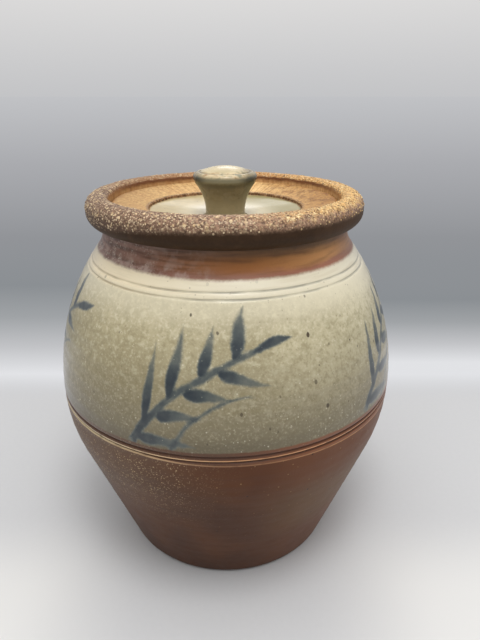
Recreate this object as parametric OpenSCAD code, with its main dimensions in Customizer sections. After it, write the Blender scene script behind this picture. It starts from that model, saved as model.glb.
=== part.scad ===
// Stoneware storage jar, thrown on the wheel, with a loose lid that drops into a gallery in the rim.
// Millimetres, +Z up. The origin is the centre of the flat base, and every piece is turned about Z.

/* [Body] */
// Diameter of the base, before its edge is rounded
base_d = 128; // [110:1:150]
// Largest diameter, at the belly line
belly_d = 190; // [170:1:220]
// Height of the belly line above the base
belly_h = 104; // [85:1:125]
// Radius of the curve from the belly into the lower cone
belly_round = 90; // [40:1:130]
// Rounding of the edge of the base
base_round = 4; // [1:0.5:8]
// Thickness of the wall
wall_t = 7; // [5:0.5:10]
// Thickness of the floor
floor_t = 9; // [6:0.5:14]
// Rounding inside, between the floor and the wall
floor_round = 14; // [6:1:24]

/* [Rim and neck] */
// Height of the rim's crest above the base
rim_h = 208; // [190:1:230]
// Outer diameter of the rolled rim
rim_d = 146; // [142:1:156]
// Height of the roll
roll_h = 15; // [13:0.5:20]
// Rounding of the roll's outer edges
roll_round = 6.5; // [3:0.5:6.5]
// Rounding of the roll's inner edge
lip_round = 4.5; // [2:0.5:5]
// Diameter of the neck, just under the roll
neck_d = 131; // [128:1:140]
// Straight height of the neck under the roll
neck_h = 3; // [1:0.5:8]
// Radius of the hollow between the neck and the shoulder
neck_cove = 14; // [6:1:24]

/* [Gallery] */
// Inner diameter of the rim, where the lid drops in
gallery_d = 122; // [116:1:126]
// Depth of the lid's seat below the rim's crest
seat_depth = 12; // [10:0.5:16]
// Diameter of the mouth through the seat
mouth_d = 104; // [94:1:108]
// Thickness of the seat's ledge
ledge_t = 8; // [7:0.5:12]

/* [Lid] */
// Gap between the lid's edge and the rim
lid_gap = 1; // [0.5:0.1:2]
// Thickness of the flange at its outer edge
flange_t = 7; // [5:0.5:9]
// Rounding of the flange's upper edge
flange_round = 1.5; // [0.5:0.1:2.5]
// Fall of the flange from its outer edge to the dish
flange_fall = 3.5; // [1:0.5:4]
// Gap between the boss under the lid and the mouth
boss_gap = 4; // [1:0.5:8]
// Thickness of the boss round the dish
boss_t = 7; // [5:0.5:10]
// Step from the flange down to the dish
dish_step = 1.5; // [0.5:0.1:2.5]
// Depth of the dish below that step
dish_depth = 4.5; // [2:0.5:8]
// Thickness of the lid under the dish
dish_t = 6; // [4:0.5:9]

/* [Knob] */
// Largest diameter of the knob, at its bead
knob_d = 33.6; // [28:0.2:40]
// Height of the knob's top above its seat in the dish
knob_h = 26; // [20:0.5:34]
// Smallest diameter of the stem
stem_d = 21; // [16:0.5:26]
// Height of the stem's narrowest place above the seat
waist_h = 2; // [1:0.5:5]
// Rounding where the stem meets the dish
foot_round = 2; // [1:0.5:4]
// Height of the bead round the top
bead_h = 4.6; // [3:0.2:6]
// Rounding of the bead's upper edge
bead_round = 2.6; // [1:0.2:3]
// Diameter of the button inside the bead
button_d = 26.8; // [20:0.2:28]
// Rise of the button above the bead
button_h = 2.8; // [1:0.2:4]

/* [Incised lines] */
// Width of a line cut into the clay
line_w = 1.6; // [0.8:0.1:2.4]
// Drop of the upper shoulder line below the neck's hollow
shoulder_line_drop = 5.5; // [3:0.5:20]
// Height between the two shoulder lines
shoulder_line_pitch = 2.7; // [2:0.1:5]
// Height between the two belly lines
belly_line_pitch = 2.7; // [2:0.1:5]

/* [Hidden] */
$fn = 128;

// Overlap that lets one stretch of an outline run cleanly into the next
join = 0.01;

base_r = base_d / 2;
belly_r = belly_d / 2;
rim_r = rim_d / 2;
neck_r = neck_d / 2;
gallery_r = gallery_d / 2;
mouth_r = mouth_d / 2;

// Lower cone, tangent to the curve under the belly: its lean from upright
belly_round_r = belly_r - belly_round;
cone_run = base_r - belly_round_r;
cone_lean = atan2(belly_h, cone_run) - acos(belly_round / norm([cone_run, belly_h]));
cone_normal = [cos(cone_lean), -sin(cone_lean)];

// Hollow of the neck, and the shoulder curve that runs from the belly line into it
roll_z = rim_h - roll_h;
cove_centre = [neck_r + neck_cove, roll_z - neck_h];
cove_in = cove_centre[0] - belly_r;
cove_up = cove_centre[1] - belly_h;
shoulder_round = thousandths(
    (cove_in * cove_in + cove_up * cove_up - neck_cove * neck_cove) / (2 * (neck_cove - cove_in)));
shoulder_centre = [belly_r - shoulder_round, belly_h];
shoulder_top = shoulder_centre
    + (cove_centre - shoulder_centre) * shoulder_round / (shoulder_round + neck_cove);

// Gallery and lid heights
seat_z = rim_h - seat_depth;
lid_r = gallery_r - lid_gap;
flange_z = seat_z + flange_t;
boss_r = mouth_r - boss_gap;
dish_r = boss_r - boss_t;
dish_edge_z = flange_z - flange_fall;
dish_rim_z = dish_edge_z - dish_step;
dish_sphere = (dish_r * dish_r + dish_depth * dish_depth) / (2 * dish_depth);
dish_centre_z = dish_rim_z - dish_depth + dish_sphere;

// Knob heights and the hollow of its stem
knob_r = knob_d / 2;
stem_r = stem_d / 2;
foot_r = stem_r + foot_round;
knob_z = dish_centre_z - sqrt(dish_sphere * dish_sphere - foot_r * foot_r);
waist_z = knob_z + waist_h;
bead_top_z = knob_z + knob_h - button_h;
bead_z = bead_top_z - bead_h;
flare_up = bead_z - waist_z;
flare_out = knob_r - stem_r;
flare_round = (flare_up * flare_up + flare_out * flare_out) / (2 * flare_out);
button_r = button_d / 2;
button_sphere = (button_r * button_r + button_h * button_h) / (2 * button_h);

// A length in whole thousandths of a millimetre, so that two curves meet exactly
function thousandths(length) = round(length * 1000) / 1000;

// Centre of a rounding between a level floor and the cone, set in from the outer face
function corner_centre(inset, floor_z, round) = [
    base_r + ((floor_z + round) * sin(cone_lean) - inset - round) / cos(cone_lean),
    floor_z + round
];

// Outer radius of the body at a height near or above the belly line
function body_r(z) = z < belly_h
    ? belly_round_r + sqrt(belly_round * belly_round - (z - belly_h) * (z - belly_h))
    : shoulder_centre[0] + sqrt(shoulder_round * shoulder_round - (z - belly_h) * (z - belly_h));

// Rectangle between two corners
module block(from, to) {
    translate(from) square(to - from);
}

module disc(centre, radius) {
    translate(centre) circle(radius);
}

// Half section of the body from a floor up to a top, set in from the outer face by an inset
module body_section(inset, floor_z, top_z, round) {
    corner = corner_centre(inset, floor_z, round);
    on_cone = corner + (round - join) * cone_normal;
    belly_centre = [belly_round_r, belly_h];
    cone_top = belly_centre + (belly_round - inset - join) * cone_normal;
    polygon([
        [0, floor_z],
        [corner[0], floor_z],
        on_cone,
        cone_top,
        [0, cone_top[1]]
    ]);
    disc(corner, round);
    intersection() {
        disc(belly_centre, belly_round - inset);
        block([0, corner[1]], [belly_d, belly_h]);
    }
    intersection() {
        disc(shoulder_centre, shoulder_round - inset);
        block([0, belly_h], [belly_d, top_z]);
    }
}

// Body and neck, with the hollow between them
module neck_section() {
    difference() {
        union() {
            body_section(0, 0, cove_centre[1], base_round);
            block([0, belly_h], [shoulder_top[0], cove_centre[1]]);
            block([0, belly_h], [neck_r, rim_h - lip_round]);
        }
        disc(cove_centre, neck_cove + join);
    }
}

// Roll of the rim, round outside and at its inner lip
module roll_section() {
    outer = rim_r - roll_round;
    inner = gallery_r + lip_round;
    block([0, roll_z], [outer, rim_h - lip_round]);
    block([inner, roll_z], [outer, rim_h]);
    disc([inner, rim_h - lip_round], lip_round);
    intersection() {
        union() {
            disc([outer, roll_z + roll_round], roll_round);
            disc([outer, rim_h - roll_round], roll_round);
            block([inner, roll_z + roll_round], [rim_r, rim_h - roll_round]);
        }
        block([outer, roll_z], [rim_d, rim_h]);
    }
}

// V-shaped cut of a line, half in and half out of the face that it is cut into
module line_cut(centre) {
    translate(centre) rotate(45) square(line_w / sqrt(2), center = true);
}

// Two lines on the shoulder, and two at the belly with a ridge between them
module body_lines() {
    upper_z = shoulder_top[1] - shoulder_line_drop;
    for (z = [upper_z, upper_z - shoulder_line_pitch])
        line_cut([body_r(z), z]);
    for (side = [-1, 1]) {
        z = belly_h + side * belly_line_pitch / 2;
        line_cut([body_r(z), z]);
    }
}

// Body, neck, rolled rim and gallery, thrown from one lump of clay
module jar() {
    color([0.62, 0.55, 0.42])
    rotate_extrude()
    difference() {
        union() {
            neck_section();
            roll_section();
        }
        body_section(wall_t, floor_t, seat_z - ledge_t, floor_round);
        block([0, belly_h], [mouth_r, seat_z]);
        block([0, seat_z], [gallery_r, rim_h]);
        body_lines();
    }
}

// Lid: a flange that rests in the gallery, a boss that keeps it in the mouth, and a dish on top
module lid() {
    color([0.80, 0.64, 0.42])
    rotate_extrude()
    difference() {
        union() {
            polygon([
                [0, seat_z],
                [lid_r, seat_z],
                [lid_r, flange_z - flange_round],
                [lid_r - flange_round, flange_z],
                [dish_r, dish_edge_z],
                [0, dish_edge_z]
            ]);
            disc([lid_r - flange_round, flange_z - flange_round], flange_round);
            intersection() {
                disc([0, dish_centre_z], dish_sphere + dish_t);
                block([0, dish_rim_z - dish_depth - dish_t], [boss_r, seat_z]);
            }
        }
        intersection() {
            disc([0, dish_centre_z], dish_sphere);
            block([0, knob_z], [dish_r, dish_rim_z]);
        }
        block([0, dish_rim_z], [dish_r, dish_edge_z]);
    }
}

// Knob, thrown by itself and stuck to the flat seat in the middle of the dish
module lid_knob() {
    color([0.55, 0.56, 0.45])
    rotate_extrude()
    difference() {
        union() {
            difference() {
                block([0, knob_z], [knob_r, bead_z]);
                disc([stem_r + flare_round, waist_z], flare_round);
                block([foot_r, knob_z], [knob_r, waist_z]);
            }
            difference() {
                block([0, knob_z], [foot_r, knob_z + foot_round]);
                disc([foot_r, knob_z + foot_round], foot_round);
            }
            block([0, bead_z], [knob_r, bead_top_z - bead_round]);
            block([0, bead_z], [knob_r - bead_round, bead_top_z]);
            disc([knob_r - bead_round, bead_top_z - bead_round], bead_round);
            intersection() {
                disc([0, bead_top_z + button_h - button_sphere], button_sphere);
                block([0, bead_top_z], [button_r, bead_top_z + button_h]);
            }
        }
        line_cut([button_r, bead_top_z]);
    }
}

jar();
lid();
lid_knob();
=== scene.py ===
"""Looks of a wheel-thrown stoneware jar with a loose lid: shapes, finishes, stage, light and camera."""

import math

import bpy
import numpy as np
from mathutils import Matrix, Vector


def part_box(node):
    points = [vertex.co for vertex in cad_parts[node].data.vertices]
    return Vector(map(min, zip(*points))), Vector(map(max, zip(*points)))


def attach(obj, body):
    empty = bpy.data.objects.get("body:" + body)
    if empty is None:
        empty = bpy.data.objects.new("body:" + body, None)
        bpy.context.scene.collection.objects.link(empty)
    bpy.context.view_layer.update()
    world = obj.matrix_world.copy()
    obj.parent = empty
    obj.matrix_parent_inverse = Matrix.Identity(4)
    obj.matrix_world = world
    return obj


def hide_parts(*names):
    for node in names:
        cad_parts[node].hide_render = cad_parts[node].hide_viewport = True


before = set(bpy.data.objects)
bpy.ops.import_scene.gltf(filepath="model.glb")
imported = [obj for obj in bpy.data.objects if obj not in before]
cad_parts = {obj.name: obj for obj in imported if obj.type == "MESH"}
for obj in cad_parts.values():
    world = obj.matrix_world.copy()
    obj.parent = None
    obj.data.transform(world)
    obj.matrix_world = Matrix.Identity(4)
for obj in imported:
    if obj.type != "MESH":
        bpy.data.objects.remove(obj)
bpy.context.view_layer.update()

MM = 0.001

# Sizes in millimetres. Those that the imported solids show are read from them.
jar_low, jar_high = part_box("jar")
lid_low, lid_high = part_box("lid")
knob_low, knob_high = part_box("lid_knob")
BELLY_R = (jar_high.x - jar_low.x) / 2 / MM
RIM_H = jar_high.z / MM
LID_R = (lid_high.x - lid_low.x) / 2 / MM
FLANGE_Z = lid_high.z / MM
KNOB_R = (knob_high.x - knob_low.x) / 2 / MM
KNOB_Z = knob_low.z / MM
KNOB_TOP = knob_high.z / MM

BASE_R = 64.0
BASE_ROUND = 4.0
BELLY_H = 104.0
BELLY_ROUND = 90.0
WALL = 7.0
FLOOR = 9.0
FLOOR_ROUND = 14.0
NECK_R = 65.5
NECK_H = 3.0
NECK_COVE = 14.0
RIM_R = 73.0
ROLL_H = 15.0
ROLL_ROUND = 6.5
LIP_ROUND = 4.5
GALLERY_R = 61.0
SEAT_Z = RIM_H - 12.0
MOUTH_R = 52.0
LEDGE = 8.0
LINE_DEPTH = 0.4
LINE_HALF_WIDTH = 0.55
BELLY_LINE_DEPTH = 0.9
BELLY_LINE_HALF_WIDTH = 0.62
LINE_PITCH = 2.7
SHOULDER_LINE_DROP = 5.5
GLAZE_STOP = 0.8

BOSS_R = 48.0
DISH_R = 41.0
FLANGE_ROUND = 1.5
FLANGE_FALL = 3.5
DISH_STEP = 1.5
DISH_DEPTH = 4.5
DISH_EDGE_ROUND = 0.7
LID_THICK = 6.0

STEM_R = 10.5
FOOT_ROUND = 2.0
BEAD_H = 4.6
BEAD_ROUND = 2.6
BUTTON_R = 13.4
BUTTON_H = 2.8
RING_HALF_WIDTH = 0.45
RING_DEPTH = 0.5

SEGMENTS = 320
LUMP_SIZE = 5.0
CRUST_FADE = 2.0
GRAIN_CROWDING = 0.7
GRAIN_FLATNESS = 0.55


class Wire:
    """A socket of a node tree; arithmetic on it adds Math nodes to the tree."""

    def __init__(self, tree, socket):
        self.tree = tree
        self.socket = socket

    def node(self, kind, settings=None, inputs=None, output=0):
        """Adds any other node: its type, its settings, and the values or links of its sockets."""
        node = self.tree.nodes.new(kind)
        for name, value in (settings or {}).items():
            if name == "stops":
                set_stops(node.color_ramp, value)
            else:
                setattr(node, name, value)
        for key, value in (inputs or {}).items():
            if isinstance(value, Wire):
                self.tree.links.new(value.socket, node.inputs[key])
            else:
                node.inputs[key].default_value = value
        return Wire(self.tree, node.outputs[output]) if len(node.outputs) else Wire(self.tree, None)

    def out(self, name):
        """Another output of the node that this wire comes from."""
        return Wire(self.tree, self.socket.node.outputs[name])

    def math(self, operation, *values):
        return self.node("ShaderNodeMath", {"operation": operation}, dict(enumerate(values)))

    def __add__(self, other):
        return self.math("ADD", self, other)

    __radd__ = __add__

    def __sub__(self, other):
        return self.math("SUBTRACT", self, other)

    def __rsub__(self, other):
        return self.math("SUBTRACT", other, self)

    def __mul__(self, other):
        return self.math("MULTIPLY", self, other)

    __rmul__ = __mul__

    def __truediv__(self, other):
        return self.math("DIVIDE", self, other)

    def __rtruediv__(self, other):
        return self.math("DIVIDE", other, self)

    def __pow__(self, other):
        return self.math("POWER", self, other)

    def __abs__(self):
        return self.math("ABSOLUTE", self)

    def low(self, other):
        return self.math("MINIMUM", self, other)

    def high(self, other):
        return self.math("MAXIMUM", self, other)

    def ease(self, start, end):
        """Smooth step: 0 where the value is at start, 1 where it is at end."""
        flip = start > end
        low, high = (end, start) if flip else (start, end)
        step = self.node(
            "ShaderNodeMapRange",
            {"interpolation_type": "SMOOTHSTEP"},
            {"Value": self, "From Min": low, "From Max": high},
        )
        return 1.0 - step if flip else step

    def blend(self, first, second):
        """Colour mix with this wire as the share of the second; three numbers are a colour as seen."""
        first, second = (srgb(*c) if isinstance(c, tuple) and len(c) == 3 else c for c in (first, second))
        return self.node("ShaderNodeMix", {"data_type": "RGBA"}, {0: self, 6: first, 7: second}, output=2)

    def noise(self, size, detail=2.0, rough=0.55, seed=0.0):
        """Cloudy noise from about 0 to 1 over a position; size is the grain in millimetres."""
        return self.node(
            "ShaderNodeTexNoise",
            {"noise_dimensions": "4D"},
            {"Vector": self, "W": seed, "Scale": 1 / (size * MM), "Detail": detail, "Roughness": rough},
        )

    def vector(self, operation, *values):
        return self.node("ShaderNodeVectorMath", {"operation": operation}, dict(enumerate(values)))

    def shaken(self, size, amount, seed=0.0):
        """A position moved about by noise: grain and amount in millimetres."""
        shove = self.noise(size, seed=seed).out("Color")
        shove = self.vector("SUBTRACT", shove, (0.5, 0.5, 0.5))
        return self.vector("MULTIPLY_ADD", shove, (amount * MM,) * 3, self)

    def channels(self):
        """A colour's red; its green and blue are the node's other outputs."""
        return self.node("ShaderNodeSeparateColor", None, {0: self})

    def chance(self, number, output):
        """A random draw for each whole number."""
        return self.node("ShaderNodeTexWhiteNoise", {"noise_dimensions": "1D"}, {"W": number}, output)

    def field(self, name):
        """A named attribute of the mesh that a geometry tree works on."""
        return self.node("GeometryNodeInputNamedAttribute", {"data_type": "FLOAT"}, {"Name": name})

    def specks(self, size, share, radius, seed=0.0, blur=0.1, fade=0.0):
        """Round specks over a position: cell size in millimetres, share of cells, radius in cells."""
        moved = self.vector("ADD", self, (seed, seed, seed))
        cells = self.node("ShaderNodeTexVoronoi", None, {"Vector": moved, "Scale": 1 / (size * MM)})
        chance = cells.out("Color").channels()
        grown = radius * (0.5 + chance.out("Green"))
        kept = chance.math("LESS_THAN", chance, share)
        return (grown - cells).ease(0.0, blur) * kept * (1.0 - fade * chance.out("Blue"))


def set_stops(ramp, stops):
    """Sets a colour ramp's stops from (place, colour) pairs."""
    while len(ramp.elements) < len(stops):
        ramp.elements.new(1.0)
    for element, (place, colour) in zip(ramp.elements, stops):
        element.position = place
        element.color = colour


def srgb(red, green, blue):
    """A colour as seen, 0 to 255, as the linear colour that a shader takes."""
    def linear(value):
        part = value / 255
        return part / 12.92 if part <= 0.04045 else ((part + 0.055) / 1.055) ** 2.4
    return (linear(red), linear(green), linear(blue), 1.0)


def layered(colour, *layers):
    """Lays colours over a first one in turn, each by the share that its mask gives."""
    for mask, shade in layers:
        colour = mask.blend(colour, shade)
    return colour


# Half sections, as (radius, height) points in millimetres

def straight(start, end, step):
    count = max(1, math.ceil(math.dist(start, end) / step))
    return [tuple(a + (b - a) * i / count for a, b in zip(start, end)) for i in range(count + 1)]


def arc(centre, radius, start, end, step):
    """Points on an arc from one angle to another, in degrees from outward, upward positive."""
    count = max(2, math.ceil(abs(math.radians(end - start)) * radius / step))
    turns = [math.radians(start + (end - start) * i / count) for i in range(count + 1)]
    return [(centre[0] + radius * math.cos(t), centre[1] + radius * math.sin(t)) for t in turns]


def joined(*stretches):
    """One outline from stretches that meet end to end."""
    outline = [stretches[0][0]]
    for stretch in stretches:
        outline += [p for p in stretch if math.dist(p, outline[-1]) > 1e-4]
    return outline


class Section:
    """A half section: its points, and how far along it each one lies."""

    def __init__(self, points):
        self.points = np.array(points)
        steps = np.linalg.norm(np.diff(self.points, axis=0), axis=1)
        self.run = np.concatenate([[0.0], np.cumsum(steps)])

    def at(self, radius, height):
        """Length along the section to its point nearest to a place."""
        gaps = np.hypot(self.points[:, 0] - radius, self.points[:, 1] - height)
        return float(self.run[gaps.argmin()])

    def groove(self, place, half_width, depth):
        """Cuts a soft-edged line into the section at a length along it."""
        along = np.gradient(self.points, axis=0)
        along /= np.linalg.norm(along, axis=1, keepdims=True)
        inward = np.stack([-along[:, 1], along[:, 0]], axis=1)
        cut = depth * np.exp(-(((self.run - place) / half_width) ** 2))
        self.points = self.points + inward * cut[:, None]


CONE_RUN = BASE_R - (BELLY_R - BELLY_ROUND)
CONE_LEAN = math.degrees(
    math.atan2(BELLY_H, CONE_RUN) - math.acos(BELLY_ROUND / math.hypot(CONE_RUN, BELLY_H))
)
BELLY_CENTRE = (BELLY_R - BELLY_ROUND, BELLY_H)
ROLL_Z = RIM_H - ROLL_H
COVE_CENTRE = (NECK_R + NECK_COVE, ROLL_Z - NECK_H)
COVE_IN = COVE_CENTRE[0] - BELLY_R
COVE_UP = COVE_CENTRE[1] - BELLY_H
SHOULDER_ROUND = (COVE_IN ** 2 + COVE_UP ** 2 - NECK_COVE ** 2) / (2 * (NECK_COVE - COVE_IN))
SHOULDER_CENTRE = (BELLY_R - SHOULDER_ROUND, BELLY_H)
SHOULDER_TURN = math.degrees(math.atan2(COVE_UP, COVE_CENTRE[0] - SHOULDER_CENTRE[0]))


def on_shoulder(height):
    """Angle on the shoulder's curve at a height."""
    return math.degrees(math.asin((height - BELLY_H) / SHOULDER_ROUND))


def base_corner(inset, floor, round_r):
    """Centre of the rounding between a level floor and the cone."""
    lean = math.radians(CONE_LEAN)
    reach = ((floor + round_r) * math.sin(lean) - inset - round_r) / math.cos(lean)
    return (BASE_R + reach, floor + round_r)


def jar_section():
    """The jar from the middle of its base, up the outside, over the rim and down inside to the floor."""
    foot = base_corner(0, 0, BASE_ROUND)
    inner_foot = base_corner(WALL, FLOOR, FLOOR_ROUND)
    shoulder_end = arc(SHOULDER_CENTRE, SHOULDER_ROUND, SHOULDER_TURN, SHOULDER_TURN, 1)[0]
    upper_line = shoulder_end[1] - SHOULDER_LINE_DROP
    line_margin, belly_zone = 2.0, 3.5
    line_zone = (on_shoulder(upper_line - LINE_PITCH - line_margin), on_shoulder(upper_line + line_margin))
    roll_r = RIM_R - ROLL_ROUND
    roll_meets = -math.degrees(math.acos((NECK_R - roll_r) / ROLL_ROUND))
    lip_r = GALLERY_R + LIP_ROUND
    under_z = SEAT_Z - LEDGE
    under_turn = math.degrees(math.asin((under_z - BELLY_H) / (SHOULDER_ROUND - WALL)))
    fine, even, coarse = 0.26, 1.3, 6.0
    belly_low = -math.degrees(belly_zone / BELLY_ROUND)
    belly_high = math.degrees(belly_zone / SHOULDER_ROUND)
    outside = joined(
        straight((0.0, 0.0), (foot[0], 0.0), coarse * 2),
        arc(foot, BASE_ROUND, -90, -CONE_LEAN, even / 2),
        straight(
            arc(foot, BASE_ROUND, -CONE_LEAN, -CONE_LEAN, 1)[0],
            arc(BELLY_CENTRE, BELLY_ROUND, -CONE_LEAN, -CONE_LEAN, 1)[0],
            even * 2,
        ),
        arc(BELLY_CENTRE, BELLY_ROUND, -CONE_LEAN, belly_low, even * 1.5),
        arc(BELLY_CENTRE, BELLY_ROUND, belly_low, 0, fine),
        arc(SHOULDER_CENTRE, SHOULDER_ROUND, 0, belly_high, fine),
        arc(SHOULDER_CENTRE, SHOULDER_ROUND, belly_high, line_zone[0], even),
        arc(SHOULDER_CENTRE, SHOULDER_ROUND, line_zone[0], line_zone[1], fine),
        arc(SHOULDER_CENTRE, SHOULDER_ROUND, line_zone[1], SHOULDER_TURN, even / 2),
        arc(COVE_CENTRE, NECK_COVE, 180 + SHOULDER_TURN, 180, even / 2),
        straight((NECK_R, COVE_CENTRE[1]), (NECK_R, ROLL_Z), even / 2),
        arc((roll_r, ROLL_Z + ROLL_ROUND), ROLL_ROUND, roll_meets, 0, even / 2),
        arc((roll_r, RIM_H - ROLL_ROUND), ROLL_ROUND, 0, 90, even / 2),
        arc((lip_r, RIM_H - LIP_ROUND), LIP_ROUND, 90, 180, even / 2),
    )
    inside = joined(
        straight((GALLERY_R, RIM_H - LIP_ROUND), (GALLERY_R, SEAT_Z), even),
        straight((GALLERY_R, SEAT_Z), (MOUTH_R, SEAT_Z), even * 2),
        straight((MOUTH_R, SEAT_Z), (MOUTH_R, under_z), even * 2),
        arc(SHOULDER_CENTRE, SHOULDER_ROUND - WALL, under_turn, 0, coarse),
        arc(BELLY_CENTRE, BELLY_ROUND - WALL, 0, -CONE_LEAN, coarse),
        arc(inner_foot, FLOOR_ROUND, -CONE_LEAN, -90, even * 1.5),
        straight((inner_foot[0], FLOOR), (0.0, FLOOR), coarse * 2),
    )
    section = Section(joined(outside, inside))
    lines = {}
    for name, height in (("high", upper_line), ("low", upper_line - LINE_PITCH)):
        turn = math.radians(on_shoulder(height))
        radius = SHOULDER_CENTRE[0] + SHOULDER_ROUND * math.cos(turn)
        lines[name] = section.at(radius, height)
    lines["belly"] = section.at(BELLY_R, BELLY_H)
    marks = dict(
        lines,
        neck=section.at(*shoulder_end) - GLAZE_STOP,
        roll=section.at(NECK_R, ROLL_Z),
        ash=section.at(RIM_R, RIM_H - ROLL_ROUND),
        crest=section.at(roll_r - 1.0, RIM_H),
        lip=section.at(GALLERY_R, RIM_H - LIP_ROUND),
        mouth=section.at(MOUTH_R, SEAT_Z),
    )
    for place in (lines["high"], lines["low"]):
        section.groove(place, LINE_HALF_WIDTH, LINE_DEPTH)
    for side in (-1, 1):
        place = lines["belly"] + side * LINE_PITCH / 2
        section.groove(place, BELLY_LINE_HALF_WIDTH, BELLY_LINE_DEPTH)
    return section, marks


def lid_section():
    """The lid from the middle of its underside, round the flange and down into the dish."""
    edge_z = FLANGE_Z - FLANGE_FALL
    rim_z = edge_z - DISH_STEP
    sphere = (DISH_R ** 2 + DISH_DEPTH ** 2) / (2 * DISH_DEPTH)
    centre = (0.0, rim_z - DISH_DEPTH + sphere)
    under = sphere + LID_THICK
    boss_turn = -math.degrees(math.acos(BOSS_R / under))
    dish_turn = -math.degrees(math.acos(DISH_R / sphere))
    seat_turn = -math.degrees(math.acos((STEM_R + FOOT_ROUND) / sphere))
    fine, even = 0.3, 1.2
    boss_z = centre[1] - math.sqrt(under ** 2 - BOSS_R ** 2)
    round_r = LID_R - FLANGE_ROUND
    fall = math.degrees(math.atan2(FLANGE_FALL, round_r - DISH_R))
    slope_start = arc((round_r, FLANGE_Z - FLANGE_ROUND), FLANGE_ROUND, 90 + fall, 90 + fall, 1)[0]
    edge = (DISH_R + DISH_EDGE_ROUND, edge_z - DISH_EDGE_ROUND)
    section = Section(joined(
        arc(centre, under, -90, boss_turn, even * 3),
        straight((BOSS_R, boss_z), (BOSS_R, SEAT_Z), even),
        straight((BOSS_R, SEAT_Z), (LID_R, SEAT_Z), even * 3),
        straight((LID_R, SEAT_Z), (LID_R, FLANGE_Z - FLANGE_ROUND), even),
        arc((round_r, FLANGE_Z - FLANGE_ROUND), FLANGE_ROUND, 0, 90 + fall, fine),
        straight(slope_start, (edge[0], edge_z), even),
        arc(edge, DISH_EDGE_ROUND, 90, 180, fine),
        straight((DISH_R, edge[1]), (DISH_R, rim_z), fine),
        arc(centre, sphere, dish_turn, seat_turn, even),
        straight((STEM_R + FOOT_ROUND, KNOB_Z), (0.0, KNOB_Z), even * 4),
    ))
    marks = {
        "flange": section.at(LID_R, FLANGE_Z - FLANGE_ROUND),
        "edge": section.at(DISH_R, edge[1]),
        "dish": section.at(DISH_R, rim_z),
    }
    return section, marks


def knob_section():
    """The knob from the middle of its foot, up the flared stem and over the bead to the button."""
    foot_r = STEM_R + FOOT_ROUND
    waist_z = KNOB_Z + FOOT_ROUND
    bead_top = KNOB_TOP - BUTTON_H
    bead_z = bead_top - BEAD_H
    up, out = bead_z - waist_z, KNOB_R - STEM_R
    flare = (up ** 2 + out ** 2) / (2 * out)
    flare_turn = math.degrees(math.asin(up / flare))
    sphere = (BUTTON_R ** 2 + BUTTON_H ** 2) / (2 * BUTTON_H)
    button_turn = math.degrees(math.acos(BUTTON_R / sphere))
    under_round = 1.0
    fine, even = 0.25, 0.7
    section = Section(joined(
        straight((0.0, KNOB_Z), (foot_r, KNOB_Z), even * 4),
        arc((foot_r, waist_z), FOOT_ROUND, 270, 180, even),
        arc((STEM_R + flare, waist_z), flare, 180, 180 - flare_turn, even)[:-2],
        arc((KNOB_R - under_round, bead_z + under_round), under_round, -40, 0, fine),
        straight((KNOB_R, bead_z + under_round), (KNOB_R, bead_top - BEAD_ROUND), fine),
        arc((KNOB_R - BEAD_ROUND, bead_top - BEAD_ROUND), BEAD_ROUND, 0, 90, fine),
        straight((KNOB_R - BEAD_ROUND, bead_top), (BUTTON_R, bead_top), fine),
        arc((0.0, KNOB_TOP - sphere), sphere, button_turn, 90, fine * 2),
    ))
    marks = {
        "foot": section.at(STEM_R, waist_z),
        "bead": section.at(KNOB_R, bead_z + under_round),
        "ring": section.at(BUTTON_R, bead_top),
    }
    section.groove(marks["ring"], RING_HALF_WIDTH, RING_DEPTH)
    return section, marks


# Geometry Nodes

def new_tree(name, sockets):
    """A geometry node tree with named inputs, and the wires of its inputs by name."""
    tree = bpy.data.node_groups.new(name, "GeometryNodeTree")
    tree.interface.new_socket(name="Geometry", in_out="OUTPUT", socket_type="NodeSocketGeometry")
    for label, kind in {"Geometry": "NodeSocketGeometry", **sockets}.items():
        tree.interface.new_socket(name=label, in_out="INPUT", socket_type=kind)
    entry = tree.nodes.new("NodeGroupInput")
    return tree, {s.name: Wire(tree, s) for s in entry.outputs if s.name}


def end_tree(geometry, material):
    """Realize Instances, Set Material and the tree's output."""
    solid = geometry.node("GeometryNodeRealizeInstances", None, {"Geometry": geometry})
    dressed = solid.node("GeometryNodeSetMaterial", None, {"Geometry": solid, "Material": material})
    dressed.node("NodeGroupOutput", None, {0: dressed})


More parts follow.
